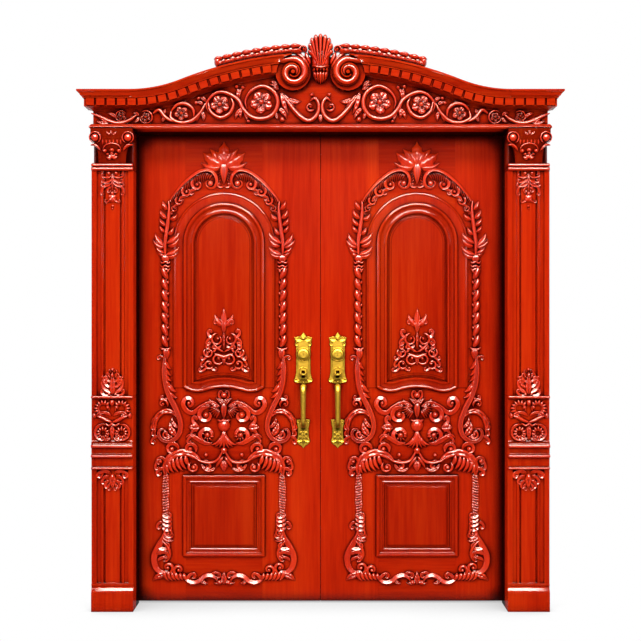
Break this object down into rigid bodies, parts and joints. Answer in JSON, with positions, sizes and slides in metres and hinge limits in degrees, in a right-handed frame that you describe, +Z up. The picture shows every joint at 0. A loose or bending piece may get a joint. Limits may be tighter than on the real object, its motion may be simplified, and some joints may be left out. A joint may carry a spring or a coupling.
{
  "type": "carved double door with frame",
  "caption": "Carved double entrance door in its frame: panelled leaves on butt hinges, moulded pilasters, curved pediment with shell crest, and cast brass handle sets.",
  "frame": {"origin": "on the floor, on the centre line of the opening, midway between the foremost point of the crown and the rearmost point of the inside pulls", "axes": "+Z up, +X to the right seen from outside, the carved face looks along -Y, leaves open to +Y"},
  "size_m": [2.142, 0.304, 2.5581],
  "materials": {
    "lacquered_wood": "gloss lacquer",
    "carved_wood": "gloss lacquer",
    "dark_wood": "dark stained lacquer",
    "brass": "aged polish",
    "steel": "plain"
  },
  "bodies": {
    "frame": {"left_jamb": "dark_wood", "left_pilaster": "lacquered_wood", "left_capital": "lacquered_wood", "left_dado_block": "lacquered_wood", "left_pilaster_carvings": "carved_wood", "left_crown": "lacquered_wood", "left_garland": "carved_wood", "right_jamb": "dark_wood", "right_pilaster": "lacquered_wood", "right_capital": "lacquered_wood", "right_dado_block": "lacquered_wood", "right_pilaster_carvings": "carved_wood", "right_crown": "lacquered_wood", "right_garland": "carved_wood", "head_jamb": "dark_wood", "bed_moulding": "lacquered_wood", "pediment_board": "lacquered_wood", "frieze_carving": "carved_wood", "crest_shell": "carved_wood", "hinge_frame_flaps": "brass", "hinge_pins": "steel"},
    "left_leaf": {"left_hinge_stile": "lacquered_wood", "left_lock_stile": "lacquered_wood", "left_top_rail": "lacquered_wood", "left_lock_rail": "lacquered_wood", "left_bottom_rail": "lacquered_wood", "left_upper_panel": "lacquered_wood", "left_lower_panel": "lacquered_wood", "left_upper_moulding": "lacquered_wood", "left_lower_moulding": "lacquered_wood", "left_upper_carving": "carved_wood", "left_panel_ornament": "carved_wood", "left_cartouche": "carved_wood", "left_lower_carving": "carved_wood", "left_handle_plate": "brass", "left_grip": "brass", "left_inside_pull": "brass", "left_hinge_leaf_flaps": "brass"},
    "left_thumb": {"left_thumb_press": "brass"},
    "left_key": {"left_key_cylinder": "brass"},
    "right_leaf": {"right_hinge_stile": "lacquered_wood", "right_lock_stile": "lacquered_wood", "right_top_rail": "lacquered_wood", "right_lock_rail": "lacquered_wood", "right_bottom_rail": "lacquered_wood", "right_upper_panel": "lacquered_wood", "right_lower_panel": "lacquered_wood", "right_upper_moulding": "lacquered_wood", "right_lower_moulding": "lacquered_wood", "right_upper_carving": "carved_wood", "right_panel_ornament": "carved_wood", "right_cartouche": "carved_wood", "right_lower_carving": "carved_wood", "right_handle_plate": "brass", "right_grip": "brass", "right_inside_pull": "brass", "right_hinge_leaf_flaps": "brass"},
    "right_thumb": {"right_thumb_press": "brass"},
    "right_key": {"right_key_cylinder": "brass"},
    "right_bolt": {"right_deadbolt": "brass"}
  },
  "joints": [
    {"name": "left_leaf_swing", "type": "hinge", "parent": "frame", "child": "left_leaf", "pos_m": [-0.841, 0.104, 1], "axis": [0, 0, 1], "range_deg": [0, 110]},
    {"name": "right_leaf_swing", "type": "hinge", "parent": "frame", "child": "right_leaf", "pos_m": [0.841, 0.104, 1], "axis": [0, 0, -1], "range_deg": [0, 110]},
    {"name": "left_thumb_press", "type": "hinge", "parent": "left_leaf", "child": "left_thumb", "pos_m": [-0.0785, 0.039, 1.044], "axis": [1, 0, 0], "range_deg": [0, 18], "stiffness_Nm_per_rad": 0.4, "springref_deg": -8.59},
    {"name": "right_thumb_press", "type": "hinge", "parent": "right_leaf", "child": "right_thumb", "pos_m": [0.0785, 0.039, 1.044], "axis": [1, 0, 0], "range_deg": [0, 18], "stiffness_Nm_per_rad": 0.4, "springref_deg": -8.59},
    {"name": "left_key_turn", "type": "hinge", "parent": "left_leaf", "child": "left_key", "pos_m": [-0.0785, 0.05, 1.134], "axis": [0, -1, 0], "range_deg": [0, 90]},
    {"name": "right_key_turn", "type": "hinge", "parent": "right_leaf", "child": "right_key", "pos_m": [0.0785, 0.05, 1.134], "axis": [0, -1, 0], "range_deg": [0, 90]},
    {"name": "right_bolt_throw", "type": "slide", "parent": "right_leaf", "child": "right_bolt", "axis": [-1, 0, 0], "range_m": [0, 0.02]}
  ],
  "couplings": [
    {"joint": "right_bolt_throw", "follows": "right_key_turn", "m_per_rad": 0.01273}
  ]
}
